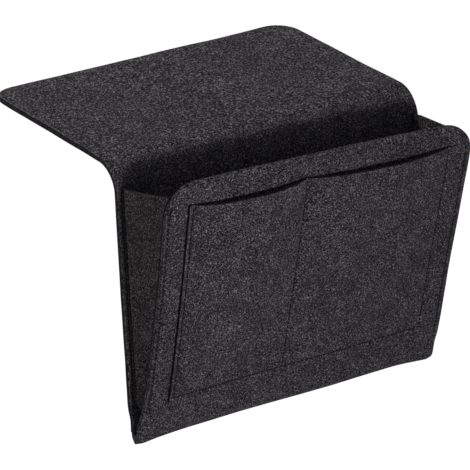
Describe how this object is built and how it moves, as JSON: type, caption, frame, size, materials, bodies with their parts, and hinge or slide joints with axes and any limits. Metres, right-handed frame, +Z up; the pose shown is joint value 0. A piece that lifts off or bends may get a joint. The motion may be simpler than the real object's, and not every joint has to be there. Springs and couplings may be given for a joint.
{
  "type": "bedside caddy",
  "caption": "Stiff felt bedside caddy: a level flap to tuck under a mattress, a rounded bend, and a wedge-shaped hanging pocket with gusseted sides and flat pockets sewn on its front.",
  "frame": {"origin": "middle of the flap's flat underside, which rests on the bed base", "axes": "+X to the right along the caddy's width, +Y towards the bed, +Z up"},
  "size_m": [0.3, 0.284, 0.2399],
  "materials": {
    "felt": "needle-punched melange felt, matt",
    "thin_felt": "thinner needle-punched melange felt, matt",
    "thread": "dark sewing thread"
  },
  "bodies": {
    "flap": {"flap": "felt", "bend": "felt"},
    "back": {"back_panel": "felt", "bottom_fold": "felt", "left_gusset": "thin_felt", "right_gusset": "thin_felt", "left_back_seam": "thread", "right_back_seam": "thread"},
    "front": {"front_panel": "felt", "pocket_panel": "thin_felt", "left_front_seam": "thread", "right_front_seam": "thread", "pocket_seam": "thread", "divider_seam": "thread"}
  },
  "joints": [
    {"name": "flap_fold", "type": "hinge", "parent": "flap", "child": "back", "pos_m": [0, -0.086, -0.023], "axis": [1, 0, 0], "range_deg": [-85, 95], "deforming": ["bend"]},
    {"name": "front_open", "type": "hinge", "parent": "back", "child": "front", "pos_m": [0, -0.13548, -0.22144], "axis": [1, 0, 0], "range_deg": [-13, 0], "deforming": ["left_gusset", "right_gusset"]}
  ]
}
